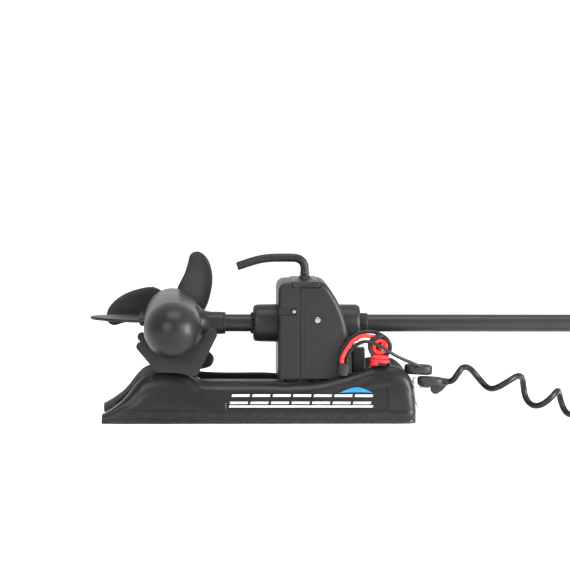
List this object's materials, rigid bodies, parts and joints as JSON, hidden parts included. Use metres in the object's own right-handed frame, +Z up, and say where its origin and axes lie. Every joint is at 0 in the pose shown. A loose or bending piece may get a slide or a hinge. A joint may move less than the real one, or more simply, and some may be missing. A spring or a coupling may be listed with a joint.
{
  "type": "trolling motor",
  "caption": "Bow-mount electric trolling motor in its stowed position, with a two-arm folding mount, pull handle, long shaft, control head, lower unit with propeller, and leads.",
  "frame": {"origin": "centre of the base's footprint on the deck plane", "axes": "+X along the stowed shaft toward the control head, +Y toward the propeller, +Z up from the deck"},
  "size_m": [1.4385, 0.3624, 0.2621],
  "materials": {
    "moulded_black": "satin moulded",
    "painted_tube": "satin black paint",
    "shaft": "satin composite",
    "extrusion": "black anodised",
    "arm_metal": "powder coated",
    "steel": "bright",
    "rear_metal": "light grey",
    "grey_pad": "light grey",
    "handle_black": "soft black",
    "rubber_black": "black",
    "black_cord": "black",
    "red_cord": "red",
    "bundle": "red and black",
    "bush": "acetal",
    "brass": "plain",
    "board": "circuit board green",
    "magnet": "ferrite",
    "winding": "varnished copper and laminations",
    "button_red": "dark red"
  },
  "bodies": {
    "base": {"base_extrusion": "extrusion", "near_side_cover": "moulded_black", "far_side_cover": "moulded_black", "near_motor_rest": "moulded_black", "far_motor_rest": "moulded_black", "arm_bracket": "arm_metal", "inner_arm_pin": "steel", "stop_block": "moulded_black", "stop_cap": "grey_pad", "rear_bracket": "rear_metal", "upper_socket": "rubber_black", "lower_plug_boot": "rubber_black", "lead_gland": "rubber_black", "red_lead": "red_cord", "black_lead": "black_cord", "lead_bundle": "bundle", "pedal_cable": "black_cord", "coil_cable": "black_cord", "coil_plug": "rubber_black"},
    "outer_arm": {"outer_arm_near": "arm_metal", "outer_arm_far": "arm_metal"},
    "inner_arm": {"inner_arm": "arm_metal"},
    "housing": {"mount_frame": "arm_metal", "link_pin": "steel", "bush_left": "bush", "bush_right": "bush", "steering_gear": "bush", "steering_pinion": "brass", "steering_motor": "steel", "control_board": "board", "front_cover": "moulded_black", "rear_cover": "moulded_black", "cover_screw": "steel", "left_collar": "moulded_black", "rear_bearing_cap": "moulded_black", "serrated_ring": "moulded_black", "depth_collar": "moulded_black", "handle_plate": "moulded_black", "latch_spring": "steel", "motor_tube": "painted_tube", "nose_cone": "moulded_black", "end_bell": "moulded_black", "shaft_adapter": "moulded_black", "skeg": "moulded_black", "magnet_ring": "magnet", "front_bearing": "steel", "shaft_tube": "shaft", "head_lower_shell": "moulded_black", "head_upper_shell": "moulded_black", "head_socket": "rubber_black"},
    "rotor": {"armature": "winding", "motor_shaft": "steel", "propeller": "moulded_black", "drive_pin": "steel", "prop_nut": "brass"},
    "pull_handle": {"handle_rod": "handle_black", "pull_grip": "handle_black", "latch_bar": "steel"},
    "power_button": {"power_button": "button_red"},
    "collar_knob": {"collar_knob": "moulded_black"}
  },
  "joints": [
    {"name": "deploy", "type": "hinge", "parent": "base", "child": "outer_arm", "pos_m": [-0.1148, 0, 0.0351], "axis": [0, -1, 0], "range_deg": [0, 180]},
    {"name": "inner_arm_pivot", "type": "hinge", "parent": "base", "child": "inner_arm", "pos_m": [-0.0995, 0, 0.052], "axis": [0, -1, 0], "range_deg": [0, 170]},
    {"name": "housing_pivot", "type": "hinge", "parent": "outer_arm", "child": "housing", "pos_m": [0.0571, 0, 0.0293], "axis": [0, -1, 0], "range_deg": [-90, 0]},
    {"name": "prop_spin", "type": "hinge", "parent": "housing", "child": "rotor", "pos_m": [-0.1367, 0.175, 0.151], "axis": [0, 1, 0], "continuous": true},
    {"name": "handle_pull", "type": "slide", "parent": "housing", "child": "pull_handle", "axis": [0, 0, 1], "range_m": [0, 0.012], "stiffness_N_per_m": 400, "springref_m": -0.01, "deforming": ["latch_spring"]},
    {"name": "power_button_press", "type": "slide", "parent": "housing", "child": "power_button", "axis": [-1, 0, 0], "range_m": [0, 0.002], "stiffness_N_per_m": 600, "springref_m": -0.002},
    {"name": "collar_knob_turn", "type": "hinge", "parent": "housing", "child": "collar_knob", "pos_m": [0.1687, 0.022, 0.151], "axis": [0, 1, 0], "range_deg": [-180, 180]}
  ],
  "couplings": [
    {"joint": "inner_arm_pivot", "follows": "deploy", "ratio": 0.938},
    {"joint": "housing_pivot", "follows": "deploy", "ratio": -0.5}
  ]
}
